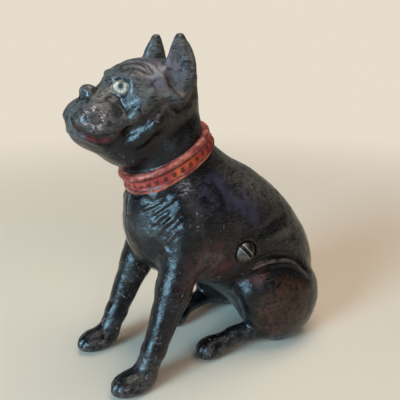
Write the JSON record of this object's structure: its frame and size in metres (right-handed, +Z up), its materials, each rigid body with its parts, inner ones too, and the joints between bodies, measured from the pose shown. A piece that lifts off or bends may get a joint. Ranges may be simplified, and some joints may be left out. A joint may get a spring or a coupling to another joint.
{
  "type": "still coin bank",
  "caption": "Hollow cast iron still bank shaped as a seated terrier with pricked ears and a collar: two castings drawn together by one screw, coin slot in the back.",
  "frame": {"origin": "on the floor under the middle of the dog, on the plane where the two castings meet", "axes": "+Z up, the dog faces -Y, +X is the dog's left, the side with the screw's head"},
  "size_m": [0.0522, 0.0984, 0.111],
  "materials": {
    "painted_iron": "worn black enamel over cast iron, with a painted red collar and white eye rings",
    "steel": "dull, tarnished steel"
  },
  "bodies": {
    "left": {"left_casting": "painted_iron"},
    "right": {"right_casting": "painted_iron"},
    "fastener": {"screw": "steel"}
  },
  "joints": [
    {"name": "screw_turn", "type": "hinge", "parent": "left", "child": "fastener", "pos_m": [0, 0.0017, 0.041], "axis": [1, 0, 0], "range_deg": [0, 2700]},
    {"name": "casting_part", "type": "slide", "parent": "left", "child": "right", "axis": [-1, 0, 0], "range_m": [0, 0.0059]}
  ],
  "couplings": [
    {"joint": "screw_turn", "follows": "casting_part", "rad_per_m": 7915.8}
  ]
}
